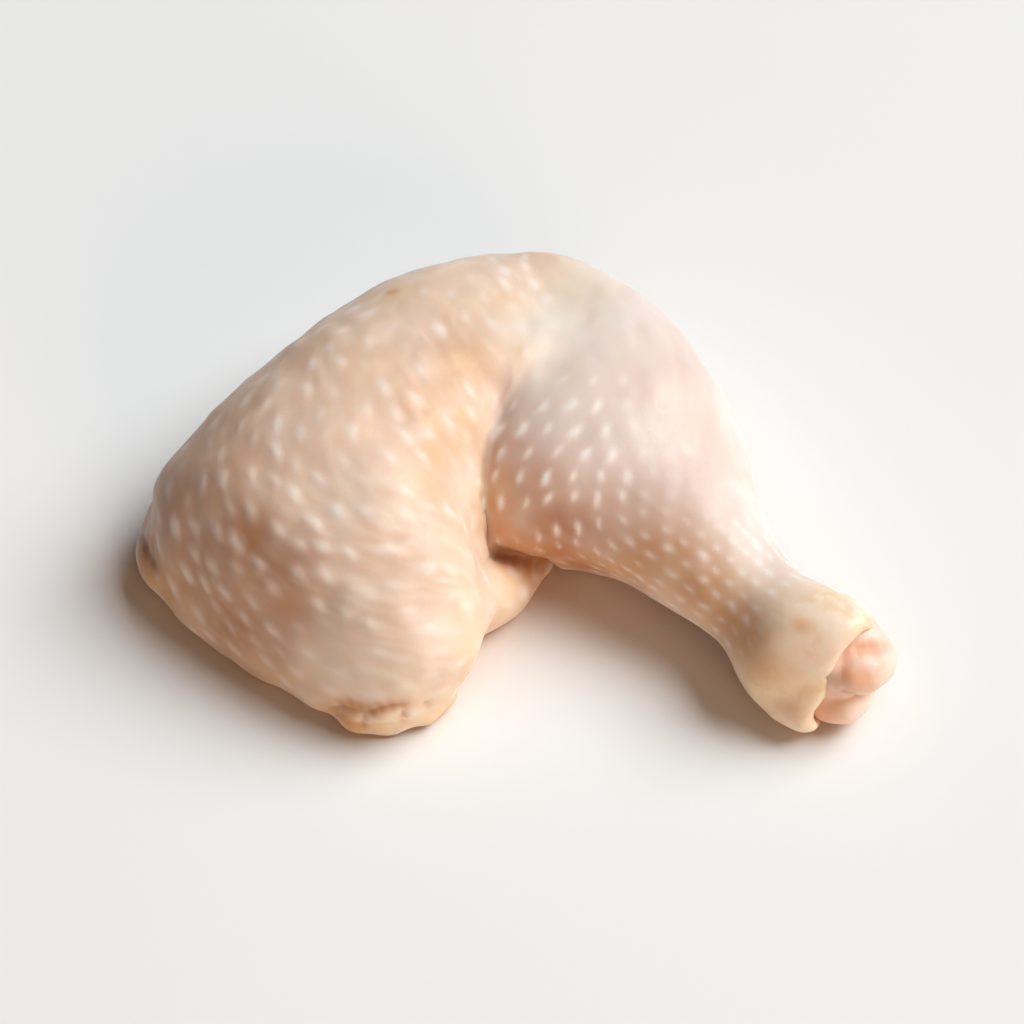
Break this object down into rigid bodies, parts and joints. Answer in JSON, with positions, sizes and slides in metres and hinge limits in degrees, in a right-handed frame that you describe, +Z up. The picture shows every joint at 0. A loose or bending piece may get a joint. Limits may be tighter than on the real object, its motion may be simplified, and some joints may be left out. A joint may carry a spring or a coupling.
{
  "type": "raw chicken leg",
  "caption": "Raw chicken leg, thigh and drumstick in one piece, skin on, bent at the knee and lying skin side up, with the shank's end showing at the hock.",
  "frame": {"origin": "middle of the bounding box, at the surface the leg lies on", "axes": "+X from the thigh's far corner to the hock, +Y from the thigh's cut edge to the knee, +Z up"},
  "size_m": [0.1757, 0.1276, 0.05],
  "materials": {
    "skin": "moist raw poultry skin, cream to peach on the thigh and pinkish mauve on the drumstick, with pale follicle bumps",
    "cartilage": "moist pinkish-cream joint cartilage"
  },
  "bodies": {
    "root": {"leg": "skin", "shank_bone": "cartilage"}
  },
  "joints": []
}
